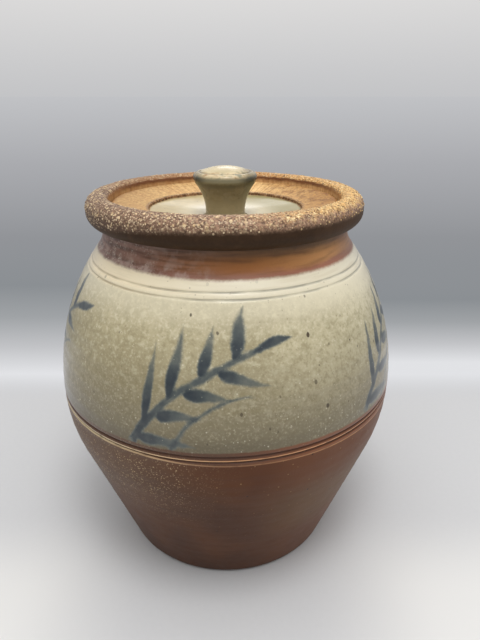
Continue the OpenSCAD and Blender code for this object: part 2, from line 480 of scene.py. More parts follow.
def wheel_tree():
    """Turns a half section about the upright axis, with the wobble and finger rings of the wheel."""
    tree, given = new_tree("Throw on the wheel", {
        "Section": "NodeSocketObject",
        "Segments": "NodeSocketInt",
        "Ring height": "NodeSocketFloat",
        "Ring depth": "NodeSocketFloat",
        "Sway": "NodeSocketFloat",
        "Line tilt": "NodeSocketFloat",
        "Crust from": "NodeSocketFloat",
        "Crust to": "NodeSocketFloat",
        "Crust depth": "NodeSocketFloat",
        "Finish": "NodeSocketMaterial",
    })
    start = given["Segments"]
    section = start.node("GeometryNodeObjectInfo", None, {"Object": given["Section"]}, "Geometry")
    rows = start.node("GeometryNodeAttributeDomainSize", {"component": "MESH"}, {"Geometry": section})
    grid = start.node(
        "GeometryNodeMeshGrid",
        None,
        {"Size X": 1.0, "Size Y": 1.0, "Vertices X": start + 1.0, "Vertices Y": rows},
    )
    index = start.node("GeometryNodeInputIndex")
    column = index.math("FLOOR", (index + 0.5) / rows)
    row = index - column * rows

    def from_section(field, data_type):
        return start.node(
            "GeometryNodeSampleIndex",
            {"data_type": data_type, "domain": "POINT"},
            {"Geometry": section, "Value": field, "Index": row},
        )

    def stored(name):
        return from_section(start.field(name), "FLOAT")

    place = from_section(start.node("GeometryNodeInputPosition"), "FLOAT_VECTOR")
    parts = start.node("ShaderNodeSeparateXYZ", None, {0: place})
    turn = column / start * (2 * math.pi)
    ring = turn.math("SINE", parts.out("Z") / given["Ring height"] * (2 * math.pi) + turn)
    sway = turn.math("SINE", turn * 2.0 + 0.7)
    radius = parts + stored("thrown") * (ring * given["Ring depth"]) + parts * (sway * given["Sway"])
    height = parts.out("Z") + stored("line") * given["Line tilt"] * turn.math("COSINE", turn)
    spot = start.node(
        "ShaderNodeCombineXYZ",
        None,
        {"X": radius * turn.math("COSINE", turn), "Y": radius * turn.math("SINE", turn), "Z": height},
    )
    thrown = start.node("GeometryNodeSetPosition", None, {"Geometry": grid, "Position": spot})
    marked = start.node(
        "GeometryNodeStoreNamedAttribute",
        {"data_type": "FLOAT", "domain": "POINT"},
        {"Geometry": thrown, "Name": "run", "Value": stored("run")},
    )
    closed = start.node("GeometryNodeMergeByDistance", None, {"Geometry": marked, "Distance": 1e-6})
    run = start.field("run")
    fade = CRUST_FADE * MM
    crusty = ((run - given["Crust from"]) / fade).low(1.0).high(0.0)
    crusty = crusty * ((given["Crust to"] - run) / fade).low(1.0).high(0.0)
    lump = start.node("GeometryNodeInputPosition").noise(LUMP_SIZE) - 0.5
    swell = start.node(
        "ShaderNodeVectorMath",
        {"operation": "SCALE"},
        {0: start.node("GeometryNodeInputNormal"), "Scale": lump * crusty * given["Crust depth"]},
    )
    crusted = start.node("GeometryNodeSetPosition", None, {"Geometry": closed, "Offset": swell})
    smooth = start.node("GeometryNodeSetShadeSmooth", None, {"Geometry": crusted})
    end_tree(smooth, given["Finish"])
    return tree


def grain_tree():
    """Strews small flattened grains over a band of a thrown piece."""
    tree, given = new_tree("Strew ash grains", {
        "From": "NodeSocketFloat",
        "To": "NodeSocketFloat",
        "Spacing": "NodeSocketFloat",
        "Smallest": "NodeSocketFloat",
        "Largest": "NodeSocketFloat",
        "Seed": "NodeSocketInt",
        "Finish": "NodeSocketMaterial",
    })
    start = given["From"]
    run = start.field("run")
    band = run.math("GREATER_THAN", run, given["From"]) * run.math("LESS_THAN", run, given["To"])
    points = start.node(
        "GeometryNodeDistributePointsOnFaces",
        {"distribute_method": "POISSON"},
        {
            "Mesh": given["Geometry"],
            "Selection": band,
            "Distance Min": given["Spacing"],
            "Density Max": GRAIN_CROWDING / (given["Spacing"] * given["Spacing"]),
            "Seed": given["Seed"],
        },
    )
    grain = start.node("GeometryNodeMeshIcoSphere", None, {"Radius": 1.0, "Subdivisions": 1})
    size = start.node(
        "FunctionNodeRandomValue",
        {"data_type": "FLOAT"},
        {2: given["Smallest"], 3: given["Largest"], "Seed": given["Seed"]},
        output=1,
    )
    scale = start.node("ShaderNodeCombineXYZ", None, {"X": size, "Y": size, "Z": size * GRAIN_FLATNESS})
    strewn = start.node(
        "GeometryNodeInstanceOnPoints",
        None,
        {
            "Points": points,
            "Instance": grain,
            "Rotation": points.out("Rotation"),
            "Scale": scale,
        },
    )
    end_tree(strewn, given["Finish"])
    return tree


def grown(name, source, tree, values):
    """A plain mesh piece made by running a node tree over a source mesh."""
    holder = bpy.data.objects.new(name + "_maker", source)
    bpy.context.scene.collection.objects.link(holder)
    modifier = holder.modifiers.new("make", "NODES")
    modifier.node_group = tree
    for item in tree.interface.items_tree:
        if item.in_out == "INPUT" and item.name in values:
            modifier[item.identifier] = values[item.name]
    graph = bpy.context.evaluated_depsgraph_get()
    mesh = bpy.data.meshes.new_from_object(
        holder.evaluated_get(graph), preserve_all_data_layers=True, depsgraph=graph
    )
    bpy.data.objects.remove(holder)
    mesh.name = name
    piece = bpy.data.objects.new(name, mesh)
    bpy.context.scene.collection.objects.link(piece)
    return piece


def section_object(name, section, thrown, line):
    """The half section as a row of points that the wheel tree reads, hidden from the picture."""
    mesh = bpy.data.meshes.new(name)
    spots = [(r * MM, 0.0, z * MM) for r, z in section.points]
    mesh.from_pydata(spots, [(i, i + 1) for i in range(len(spots) - 1)], [])
    for label, values in (("run", section.run * MM), ("thrown", thrown), ("line", line)):
        field = mesh.attributes.new(label, "FLOAT", "POINT")
        field.data.foreach_set("value", np.asarray(values, dtype=np.float32))
    holder = bpy.data.objects.new(name, mesh)
    bpy.context.scene.collection.objects.link(holder)
    return holder


def throw(name, section, finish, tree, thrown, line, values):
    """A turned piece with its finish: thrown and line say where finger rings and the tilt show."""
    holder = section_object(name + "_section", section, thrown, line)
    given = {"Section": holder, "Segments": SEGMENTS, "Ring height": 1.0, "Finish": finish}
    piece = grown(name, bpy.data.meshes.new(name + "_clay"), tree, {**given, **values})
    bpy.data.objects.remove(holder)
    return piece


# Finishes

# Grain of the noises that the finishes share, in millimetres
CLOUD_SIZE = 40
MOTTLE_SIZE = 6
GRAIN_SIZE = 1.2
TURNING_SIZE = 1.8
RUNS_SIZE = 1.6


class Spot:
    """What a finish varies with: place on the piece, length along its section, and several noises."""

    def __init__(self, material, seed):
        tree = material.node_tree
        tree.nodes.clear()
        self.at = Wire(tree, None).node("ShaderNodeTexCoord", None, None, "Object")
        parts = self.at.node("ShaderNodeSeparateXYZ", None, {0: self.at})
        self.x = parts / MM
        self.y = parts.out("Y") / MM
        self.height = parts.out("Z") / MM
        self.left = self.x.ease(15.0, -70.0)
        self.right = self.x.ease(-5.0, 70.0)
        self.run = self.at.node("ShaderNodeAttribute", {"attribute_name": "run"}, None, "Fac") / MM
        self.cloud = self.at.noise(CLOUD_SIZE, seed=seed)
        self.mottle = self.at.noise(MOTTLE_SIZE, seed=seed + 1)
        self.grain = self.at.noise(GRAIN_SIZE, seed=seed + 2)
        flat = self.at.vector("MULTIPLY", self.at, (0.08, 0.08, 1.0))
        self.turning = flat.noise(TURNING_SIZE, seed=seed + 3)
        level = self.at.vector("MULTIPLY", self.at, (1.0, 1.0, 0.0))
        outward = level.vector("NORMALIZE", level)
        upright = self.at.vector("MULTIPLY", self.at, (0.0, 0.0, 0.12))
        around = outward.vector("MULTIPLY_ADD", outward, (RIM_R * MM,) * 3, upright)
        self.runs = around.noise(RUNS_SIZE, seed=seed + 4)
        self.drift = self.run + (self.mottle - 0.5) * 2.0 + (self.grain - 0.5) * 0.9

    def past(self, place, blur):
        """0 before a length along the section, 1 after it, with a wandering soft edge."""
        return self.drift.ease(place - blur, place + blur)


def new_finish(name, seed):
    material = bpy.data.materials.new(name)
    material.use_nodes = True
    return material, Spot(material, seed)


def end_finish(spot, colour, rough, relief, relief_mm, coat, coat_rough=0.18):
    """The glaze or clay shader: colour, roughness, gloss coat and fine relief vary, the rest is even."""
    normal = spot.at.node("ShaderNodeBump", None, {
        "Strength": 1.0, "Distance": relief_mm * MM, "Height": relief,
    })
    shader = spot.at.node("ShaderNodeBsdfPrincipled", None, {
        "Base Color": colour,
        "Roughness": rough,
        "Normal": normal,
        "Specular IOR Level": 0.2,
        "Coat Weight": coat,
        "Coat Roughness": coat_rough,
    })
    spot.at.node("ShaderNodeOutputMaterial", None, {"Surface": shader})


SPRAYS = 5
SPRAY_TURN = math.radians(30)
SPRAY_HEIGHT = 137.0
SPRAY_LEAN = 0.56
SPRAY_SHIFT = 8.0
SPRAY_RISE = 5.0
STEM_HALF_LENGTH = 41.0
STEM_BOW = 0.005
STEM_DROP = 3.0
LEAF_PITCH = 17.0
LEAF_ANGLE = math.radians(42)
LEAF_LENGTH = 25.0
LEAF_HALF_WIDTH = 2.8
BUD_FOOT = STEM_HALF_LENGTH - 8.0
BUD_LENGTH = 20.0
REED_FOOT = 40.0
REED_LENGTH = 62.0
REED_BOW = 0.007
REED_DROP = 14.0
HAND_GRAIN = 28.0
HAND_SHAKE = 7.0
BRUSH_BLUR = 1.3


def brush_sprays(spot):
    """Leafy sprays brushed round the belly: how thick the paint lies, 0 to 1."""
    at = spot.at
    across = spot.x * math.cos(SPRAY_TURN) + spot.y * math.sin(SPRAY_TURN)
    toward = spot.x * math.sin(SPRAY_TURN) - spot.y * math.cos(SPRAY_TURN)
    around = across.math("ARCTAN2", across, toward) * BELLY_R
    width = 2 * math.pi * BELLY_R / SPRAYS
    copy = around.math("FLOOR", around / width)
    chance = at.chance(copy + 7.0, "Color").channels()
    hand = at.noise(HAND_GRAIN, detail=1.0, seed=3.0).out("Color").channels()
    u = around - (copy + 0.5) * width + (chance - 0.5) * SPRAY_SHIFT + (hand - 0.5) * HAND_SHAKE
    v = spot.height - SPRAY_HEIGHT + (chance.out("Green") - 0.5) * SPRAY_RISE
    v = v + (hand.out("Green") - 0.5) * HAND_SHAKE
    lean = SPRAY_LEAN + 0.2 * chance.out("Blue")
    cosine, sine = lean.math("COSINE", lean), lean.math("SINE", lean)
    along_stem = u * cosine + v * sine
    bend = along_stem * along_stem
    off_stem = v * cosine - u * sine + bend * STEM_BOW - STEM_DROP
    bleed = (spot.grain - 0.5) + (spot.mottle - 0.5) * 1.6

    def stroke(edge, load):
        """Paint within an outline, whose edge is above 0 outside it, by the load of the brush."""
        return (edge + bleed).ease(BRUSH_BLUR, -BRUSH_BLUR) * load

    def within(share):
        """Above 0 outside the stretch from 0 to 1, in millimetres."""
        return (abs(share - 0.5) - 0.5) * 24.0

    pressure = 1.75 + (hand.out("Blue") - 0.5) * 1.6 - 0.012 * along_stem
    reach = (along_stem + STEM_HALF_LENGTH) / (2 * STEM_HALF_LENGTH)
    stem = stroke((abs(off_stem) - pressure).high(within(reach)), 0.92 - 0.3 * reach.ease(0.0, 0.4))

    side = off_stem.math("SIGN", off_stem)
    out = abs(off_stem)
    foot = along_stem - side * (LEAF_PITCH / 4) - out / math.tan(LEAF_ANGLE)
    count = foot.math("ROUND", foot / LEAF_PITCH).low(1.0).high(-2.0)
    aside = foot - count * LEAF_PITCH
    each = at.chance(count * 3.0 + side + copy * 11.0, "Value")
    length = (LEAF_LENGTH - 2.0 * count) * (0.8 + 0.4 * each)
    share = (out / math.sin(LEAF_ANGLE) + aside * math.cos(LEAF_ANGLE) - 2.0) / length
    belly = share.high(0.0) ** 0.62
    half_width = belly * (1.0 - belly) * (4.0 * LEAF_HALF_WIDTH)
    curl = (share - 0.4) * (each - 0.4) * 5.0
    leaf = (abs(aside * math.sin(LEAF_ANGLE) + curl) - half_width).high(within(share))
    leaf = stroke(leaf, 0.95 - 0.4 * share.ease(0.05, 0.7))

    tip = (along_stem - BUD_FOOT) / BUD_LENGTH
    bud = stroke((abs(off_stem) - tip * (1.0 - tip) * 9.0).high(within(tip)), 0.75)

    reed_share = (along_stem + REED_FOOT) / REED_LENGTH
    reed = abs(off_stem + REED_DROP + bend * REED_BOW) - 1.5 * (1.0 - reed_share * 0.6)
    reed = stroke(reed.high(within(reed_share)), 0.62)

    bare = (1.0 - stem) * (1.0 - leaf) * (1.0 - bud) * (1.0 - reed)
    wash = 0.6 + 0.7 * at.noise(5.0, detail=3.0, seed=12.0)
    return ((1.0 - bare) * wash).low(1.0)


CLAY_TOP = BELLY_H - 2.0


def bare_clay(spot):
    """Brown clay with faint turning lines, redder up and right, lighter on the right with a painted sheen,
    and fine golden ash on its upper left.
    """
    at, height = spot.at, spot.height
    olive = spot.x.ease(8.0, 45.0) * abs(height - 58.0).ease(32.0, 6.0)
    fall = spot.left * height.ease(35.0, CLAY_TOP)
    patches = at.noise(4.0, detail=3.0, seed=10.0).ease(0.25, 0.55)
    ash = at.specks(0.85, 0.65, 0.36, seed=1.0, blur=0.15, fade=0.75) * (fall * 1.8).low(1.0) * patches
    stray = at.specks(2.2, 0.3, 0.16, seed=8.0) * height.ease(20.0, 90.0)
    pits = at.specks(5.0, 0.35, 0.09, seed=2.0, blur=0.05)
    colour = layered(
        spot.cloud.ease(0.35, 0.65).blend((70, 38, 15), (86, 49, 21)),
        (spot.turning.ease(0.45, 0.8) * 0.4, (66, 41, 25)),
        # redder clay on the right, partly a painted sheen
        (spot.right * 0.55, (124, 80, 54)),
        (height.ease(70.0, CLAY_TOP) * 0.22, (112, 62, 34)),
        (olive * 0.4, (98, 79, 48)),
        (fall * 0.6, (108, 90, 74)),
        (ash * 0.8, (204, 178, 136)),
        (stray * 0.45, (182, 148, 102)),
        (pits * 0.8, (34, 24, 20)),
    )
    return colour, ash - pits


def belly_glaze(spot, marks):
    """Grey-green glaze with specks and brushed sprays, darker down the belly, lighter on the right by
    painted light, and cream on the shoulder.
    """
    at, left, right = spot.at, spot.left, spot.right
    cloudlets = at.noise(2.8, seed=14.0)
    deep = spot.height.ease(163.0, 104.0)
    hem = spot.run.ease(marks["belly"] + 14.0, marks["belly"] + 5.0) * (1.0 - right)
    beige = spot.drift.ease(marks["low"] - 20.0, marks["low"] + 1.0)
    cream = spot.past(marks["low"] + 0.5, 3.0)
    pale = left.blend((228, 219, 195), (234, 217, 182))
    holes = at.specks(1.7, 0.4, 0.19, seed=5.0, fade=0.7)
    tall = at.vector("MULTIPLY", at.shaken(2.0, 0.9, 4.0), (1.0, 1.0, 0.65))
    iron = tall.specks(5.5, 0.4, 0.13, seed=3.0, blur=0.06, fade=0.5)
    rust = at.specks(2.0, 0.3, 0.16, seed=4.0)
    paint = brush_sprays(spot) * (1.0 - spot.past(marks["low"] - 2.0, 1.0)) * (1.0 - holes * 0.4)
    ink = paint.ease(0.3, 0.95).blend((94, 101, 97), (36, 46, 54))
    pooled = left.blend((122, 121, 109), (160, 140, 106))
    pools = [
        abs(spot.run - line).ease(0.75, 0.2) * at.noise(14, seed=line).ease(0.2, 0.7)
        for line in (marks["high"], marks["low"])
    ]
    colour = layered(
        spot.cloud.ease(0.35, 0.65).blend((164, 153, 120), (186, 175, 142)),
        # painted light: the glaze is lighter on the right, where more light falls
        (right * 0.6, (208, 199, 166)),
        (left * 0.4, (170, 157, 116)),
        (spot.height.ease(134.0, 103.0), (150, 139, 106)),
        (spot.mottle.ease(0.4, 0.7) * 0.55, (160, 150, 116)),
        (spot.grain.ease(0.52, 0.72) * 0.5, (214, 206, 178)),
        (spot.grain.ease(0.48, 0.3) * 0.5, (146, 135, 102)),
        (cloudlets.ease(0.52, 0.68) * 0.5, (210, 202, 172)),
        (cloudlets.ease(0.48, 0.32) * 0.55, (146, 135, 100)),
        (deep * 0.86, (102, 92, 69)),
        (deep * spot.grain.ease(0.5, 0.7) * 0.2, (196, 186, 152)),
        (hem * 0.45, (78, 68, 48)),
        # paler glaze toward the shoulder, made stronger on the right by a painted sheen
        (beige * (0.6 + 0.4 * right), (226, 217, 190)),
        (cream * 0.88, pale),
        (cream * spot.turning.ease(0.5, 0.7) * 0.35, (206, 192, 160)),
        (holes * 0.5, (228, 221, 198)),
        (iron * (0.95 - 0.7 * cream), (62, 48, 28)),
        (rust * 0.4, (116, 94, 66)),
        (paint.ease(0.04, 0.65), ink),
        *((pool * 0.68, pooled) for pool in pools),
    )
    return colour, holes * -0.6 - iron * 0.5


def toasted_neck(spot, marks):
    """Golden-brown clay under the rim, streaked, purple on the left with pale dust in clumps, darkened up
    toward the roll by painted shade.
    """
    at = spot.at
    span = marks["roll"] - marks["neck"]
    rise = (spot.drift - marks["neck"]) / span + (spot.turning - 0.5) * 0.4
    warm = spot.x.ease(5.0, 68.0).blend((158, 99, 47), (224, 164, 102))
    edge = spot.right.blend((142, 92, 68), (170, 112, 88))
    dark = (spot.left * 1.5).low(1.0)
    purple = spot.turning.ease(0.4, 0.65).blend((128, 94, 82), (82, 56, 48))
    # pale lilac on the lower left: partly a real smear, partly a painted sheen along the neck's lower edge
    lilac_smear_and_sheen = at.noise(5.0, detail=3.0, seed=9.0).ease(0.42, 0.68)
    lilac_smear_and_sheen = lilac_smear_and_sheen * spot.x.ease(5.0, -25.0) * (0.3 + 0.7 * rise.ease(0.5, 0.15))
    clumps = at.noise(4.0, seed=11.0).ease(0.42, 0.62)
    dust = at.specks(0.75, 0.8, 0.44, seed=6.0, blur=0.15, fade=0.6) * spot.x.ease(-20.0, -50.0) * clumps
    colour = layered(
        rise.ease(0.05, 0.35).blend(edge, warm),
        # painted shade: the neck darkens toward the roll and is darkest right under its overhang
        (rise.ease(0.35, 0.95) * 0.9, (74, 52, 28)),
        (rise.ease(0.8, 1.05) * 0.7, (46, 31, 18)),
        (spot.turning.ease(0.5, 0.72) * 0.4, (96, 58, 36)),
        (spot.x.ease(46.0, 66.0) * 0.65, (126, 83, 61)),
        (dark * 0.85, purple),
        (lilac_smear_and_sheen * 0.7, (180, 158, 146)),
        (dust * 0.85, (202, 188, 172)),
    )
    return colour, dust


def ash_crust(spot, marks):
    """Crust of melted ash on the rim: pale grains on mauve-brown, golden at the back and on the right,
    with a painted shadow line inside the crest at the back.
    """
    at, left, right = spot.at.shaken(1.5, 0.9, 7.0), spot.left, spot.right
    low_left = left * left * 2.2
    climb = (spot.drift + low_left - marks["ash"]) / (marks["crest"] - marks["ash"])
    behind = spot.y.ease(-15.0, 35.0)
    pebble = at.noise(1.3, detail=3.0, rough=0.65, seed=17.0)
    mauve = layered(
        pebble.ease(0.3, 0.66).blend((82, 60, 48), (176, 140, 113)),
        (left * (0.5 + 0.4 * climb.ease(0.7, 0.0)), (78, 60, 49)),
        (behind * (0.3 + 0.5 * spot.x.ease(-55.0, 10.0)), (186, 132, 78)),
    )
    golden = pebble.ease(0.36, 0.56).blend((120, 83, 46), (228, 181, 113))
    gilt = right * (climb + (spot.mottle - 0.5) * 0.9).ease(0.2, 0.7) * (1.0 - behind * 0.3)
    heaped = (climb - right * 0.35).ease(-0.1, 0.35)
    clusters = (0.65 + 0.6 * spot.mottle.ease(0.35, 0.62)) * (1.0 - 0.55 * behind * left)
    blobs = at.specks(2.0, 0.6, 0.42, seed=13.0, blur=0.2, fade=0.4) * heaped * clusters
    tone = spot.grain.ease(0.35, 0.65)
    cream = tone.blend((224, 188, 140), (252, 226, 180))
    gold = tone.blend((226, 181, 112), (252, 225, 164))
    crumbs = spot.at.specks(0.9, 0.65, 0.47, seed=7.0, blur=0.2, fade=0.6)
    crumbs = crumbs * (0.2 + 0.8 * heaped.high(left)) * clusters
    pits = at.specks(1.7, 0.35, 0.34, seed=9.0, blur=0.15, fade=0.5)
    slope = spot.drift.ease(marks["crest"] + 4.0, marks["lip"] - 0.5)
    # painted shadow: a dark line along the inner edge of the crest at the back, where the roll overhangs
    inward = spot.drift - marks["crest"] - 0.3 * right
    crease_shadow = abs(inward - 5.3).ease(2.0, 0.5) * behind
    colour = layered(
        gilt.blend(mauve, golden),
        (climb.ease(0.4, -0.1) * 0.45, (78, 58, 47)),
        (blobs.low(1.0) * 0.9, gilt.blend(cream, gold)),
        (crumbs.low(1.0) * 0.9, gilt.blend((234, 208, 172), (252, 224, 162))),
        (pits * (0.4 + 0.5 * right), (70, 49, 36)),
        (slope * 0.65, (206, 150, 88)),
        (crease_shadow, (102, 59, 27)),
    )
    return colour, pebble * 1.2 + blobs * 0.8 + crumbs * 0.6 - pits * 0.8


# How far the colour of the belly's two cut lines lies below the cuts
LINE_SAG = 0.3


def jar_finish(marks):
    """Brown clay, grey-green glaze, toasted neck and ash-strewn rim, from the foot up and over inside."""
    material, spot = new_finish("salt_glazed_stoneware", 1.0)
    clay, clay_relief = bare_clay(spot)
    glaze, glaze_relief = belly_glaze(spot, marks)
    neck, neck_relief = toasted_neck(spot, marks)
    crust, crust_relief = ash_crust(spot, marks)
    under = layered(
        spot.grain.blend((44, 27, 12), (60, 40, 21)),
        (abs(spot.x).ease(35.0, 70.0) * 0.5, (88, 65, 47)),
        (spot.mottle.ease(0.45, 0.7) * 0.35, (82, 58, 40)),
    )
    # painted shade: the inner wall darkens just under the lip's overhang
    lip_shade = spot.drift.ease(marks["lip"] + 1.0, marks["lip"] - 1.2)
    toasted = layered(
        spot.runs.ease(0.3, 0.7).blend((206, 156, 102), (240, 196, 136)),
        (spot.left * 0.35, (150, 100, 58)),
        (lip_shade * 0.6, (122, 76, 40)),
    )
    lining = spot.cloud.ease(0.3, 0.7).blend((150, 140, 110), (172, 162, 130))

    glazed = (spot.run + (spot.mottle - 0.5) * 1.2).ease(marks["belly"] + 3.6, marks["belly"] + 4.6)
    wander = (spot.mottle - 0.5) + (spot.grain - 0.5) + 0.7 * spot.x.ease(-50.0, 0.0)
    bare = (spot.run + wander).ease(marks["neck"] - 1.1, marks["neck"] + 1.1)
    rolled = spot.past(marks["roll"], 0.8)
    spread = spot.left * spot.left * 4.5
    ashy = (spot.drift + spread).ease(marks["ash"] - 1.0, marks["ash"] + 1.7)
    inner = spot.past(marks["lip"] - 1.2, 0.9)
    inside = spot.past(marks["mouth"] + 2.0, 1.0)

    line = spot.run - marks["belly"] + LINE_SAG
    band = abs(line - 1.2).ease(4.6, 3.4)
    ground = spot.x.ease(-5.0, 45.0).blend((84, 52, 29), (130, 78, 46))
    groove = abs(abs(line) - LINE_PITCH / 2).ease(0.6, 0.2)
    lean = (spot.x * 0.01).low(spot.x * 0.028).high(-1.1)
    # wear and a painted glint along the ridges of the two cut lines
    upper = abs(line + 0.12).ease(0.62, 0.22)
    lower = abs(line + LINE_PITCH + lean).ease(0.5, 0.12)
    wear_and_glint = upper + lower * (0.2 + 0.4 * spot.left + 0.3 * spot.right)
    glint = spot.left.blend((226, 166, 114), (240, 220, 178))
    colour = layered(
        clay,
        (band * 0.6, ground),
        # painted shade: the two cut grooves are darkened
        (groove * 0.8, (74, 42, 23)),
        (wear_and_glint * spot.mottle.ease(0.15, 0.5), glint),
    )
    rough = 0.5 - 0.14 * band
    coat = 0.07 + 0.5 * band * (1.0 - 0.8 * groove)
    relief = clay_relief * 0.6
    zones = (
        (glazed, glaze, 0.4, 0.75, glaze_relief * 0.6),
        (bare, neck, 0.45, 0.3, neck_relief * 0.6),
        (rolled, under, 0.6, 0.0, spot.grain * 0.4),
        (ashy, crust, 0.65, 0.1, crust_relief * 2.6),
        (inner, toasted, 0.5, 0.1, spot.grain * 0.4),
        (inside, lining, 0.4, 0.6, spot.grain * 0.2),
    )
    for mask, zone_colour, zone_rough, zone_coat, zone_relief in zones:
        colour = mask.blend(colour, zone_colour)
        rough = rough + mask * (zone_rough - rough)
        coat = coat + mask * (zone_coat - coat)
        relief = relief + mask * (zone_relief - relief)
    rough = rough + (spot.mottle - 0.5) * 0.16
    relief = relief + spot.grain * 0.35 + spot.mottle * 0.5 + spot.turning * 0.3
    end_finish(spot, colour, rough, relief, relief_mm=0.14, coat=coat)
    return material


def lid_finish(marks):
    """Toasted orange flange with painted shade toward its outer edge, a dark grainy edge and a pale glossy
    dish, paler toward the knob partly by a painted highlight.
    """
    material, spot = new_finish("toasted_lid_clay", 21.0)
    at, right = spot.at, spot.right
    blotch = at.noise(5.0, detail=3.0, seed=27.0).ease(0.5, 0.62)
    light = right.blend((232, 194, 136), (218, 164, 66))
    burnt = at.shaken(1.5, 1.0).specks(1.5, 0.4, 0.3, seed=24.0)
    # painted shade: the flange darkens toward its outer edge, next to the jar's wall
    rim = spot.drift.ease(marks["flange"] + 5.0, marks["flange"] + 0.5)
    flange_edge_shade = right.blend((114, 62, 25), (136, 88, 41))
    toast = spot.past(marks["edge"] - 1.6, 0.9)
    crust = spot.grain.ease(0.35, 0.65).blend((92, 62, 40), (170, 130, 90))
    clay = layered(
        spot.mottle.ease(0.3, 0.7).blend((240, 194, 130), (252, 215, 152)),
        (spot.runs.ease(0.46, 0.64) * 0.6, (160, 107, 54)),
        (spot.cloud.ease(0.4, 0.75) * 0.25, (164, 112, 58)),
        (spot.left * 0.85, (150, 112, 66)),
        (right * 0.9, (134, 86, 26)),
        (blotch * (0.08 + 0.7 * right), (104, 63, 28)),
        (spot.grain.ease(0.5, 0.7) * 0.45, light),
        (spot.grain.ease(0.48, 0.3) * 0.45, (134, 88, 44)),
        (burnt * (0.3 + 0.4 * right), (120, 76, 40)),
        (rim * 0.5, flange_edge_shade),
        (toast, crust),
    )
    # paler toward the knob: partly pooled glaze, partly a painted highlight beside the knob
    pool = spot.drift.ease(marks["dish"] + 9.0, marks["dish"] + 25.0)
    specks = at.specks(3.2, 0.3, 0.13, seed=25.0)
    glaze = layered(
        spot.mottle.ease(0.3, 0.7).blend((168, 150, 108), (184, 166, 122)),
        (spot.x.ease(-8.0, 24.0), (146, 135, 92)),
        (pool * 0.8, (216, 202, 164)),
        (specks * 0.6, (124, 106, 78)),
    )
    glazed = spot.past(marks["dish"] + 0.5, 0.7)
    colour = glazed.blend(clay, glaze)
    rough = 0.55 - 0.2 * glazed + (spot.mottle - 0.5) * 0.12
    relief = (spot.grain + burnt * 0.5) * (1.0 - glazed * 0.85) + spot.mottle * 0.4
    coat = glazed * (0.14 + 0.36 * pool)
    end_finish(spot, colour, rough, relief, relief_mm=0.14, coat=coat, coat_rough=0.1)
    return material


def knob_finish(marks):
    """Olive grey-green glaze that breaks brown along the bead and lies pale on the button, with painted
    shade at the stem's top and the bead's sides and a painted highlight in the button's pale.
    """
    material, spot = new_finish("knob_glaze", 31.0)
    at = spot.at
    cloud = at.noise(8, seed=35.0)
    fine = at.noise(2.2, seed=36.0)
    patches = at.noise(4.0, seed=37.0)
    specks = at.specks(2.6, 0.35, 0.16, seed=33.0)
    drift = spot.run + (fine - 0.5) * 1.6
    # painted shade: the stem darkens toward its top, under the bead
    low = drift.ease(marks["bead"] - 3.0, marks["foot"] + 1.0)
    shade = abs(drift - marks["bead"] + 2.2).ease(2.6, 0.4)
    side = abs(drift - marks["bead"] - 0.6).ease(2.4, 0.8)
    # painted shade: the bead's side colour darkens toward the left and right, where it turns from the
    # light
    turned = abs(spot.x + 1.0).ease(7.0, 14.5)
    rim = turned.blend((136, 134, 112), (58, 62, 54))
    bead = drift.ease(marks["bead"] + 1.0, marks["bead"] + 3.2) * (1.0 - turned * 0.75)
    broken = layered(
        patches.ease(0.35, 0.5).blend((148, 144, 118), (216, 196, 156)),
        (patches.ease(0.54, 0.68), (168, 130, 88)),
    )
    # pale glaze on the button, partly a painted highlight on its lit dome, reaching less far on the right
    inset = spot.x.ease(2.0, 13.0) * 3.0
    button = (drift - inset).ease(marks["ring"] - 0.3, marks["ring"] + 3.0)
    pale = cloud.ease(0.35, 0.65).blend((206, 190, 152), (190, 174, 137))
    pool = abs(spot.run - marks["ring"]).ease(0.7, 0.2)
    colour = layered(
        low.blend((110, 102, 80), (148, 137, 110)),
        (cloud.ease(0.4, 0.7) * 0.35, (142, 128, 96)),
        (specks * 0.6, (80, 64, 44)),
        (shade * 0.5, (74, 70, 52)),
        (side * 0.8, rim),
        (bead * 0.85, broken),
        (button, pale),
        (pool * 0.8, (104, 90, 62)),
    )
    rough = 0.27 + (cloud - 0.5) * 0.16
    relief = fine * 0.6 + cloud * 0.6 - specks * 0.4
    end_finish(spot, colour, rough, relief, relief_mm=0.12, coat=0.22)
    return material


def grain_finish():
    """Melted ash grains, from brown to cream, and golden on the right."""
    material, spot = new_finish("ash_grains", 41.0)
    tone = spot.grain.ease(0.3, 0.7)
    cream = tone.blend((112, 86, 66), (224, 202, 166))
    golden = tone.blend((160, 116, 68), (240, 212, 156))
    colour = spot.right.blend(cream, golden)
    end_finish(spot, colour, 0.5 + 0.2 * tone, tone, relief_mm=0.05, coat=0.1)
    return material


# The paper's fade is drawn for one place of the eye: metres in front of the jar, and above the paper
PAPER_BACK = 0.2825
PAPER_EYE = 0.2549

# Fall of the sight to the paper: about which the right side steepens, and where the paper is brightest
HORIZON_FALL = 0.47
BRIGHTEST_FALL = 0.565

# Greys of the backdrop by the fall of the sight to it: 0 is farthest
BACKDROP_STOPS = [
    (0.0, srgb(194, 195, 198)),
    (0.12, srgb(170, 171, 175)),
    (0.26, srgb(146, 148, 152)),
    (0.36, srgb(139, 143, 147)),
    (0.43, srgb(160, 163, 166)),
    (0.5, srgb(194, 195, 198)),
    (BRIGHTEST_FALL, srgb(226, 227, 230)),
    (0.62, srgb(209, 210, 213)),
]


def seen(start):
    """1 for what the camera, a reflection or clear glass shows, 0 for light that falls on things."""
    path = start.node("ShaderNodeLightPath", None, None, "Is Camera Ray")
    return path.high(path.out("Is Glossy Ray")).high(path.out("Is Transmission Ray"))


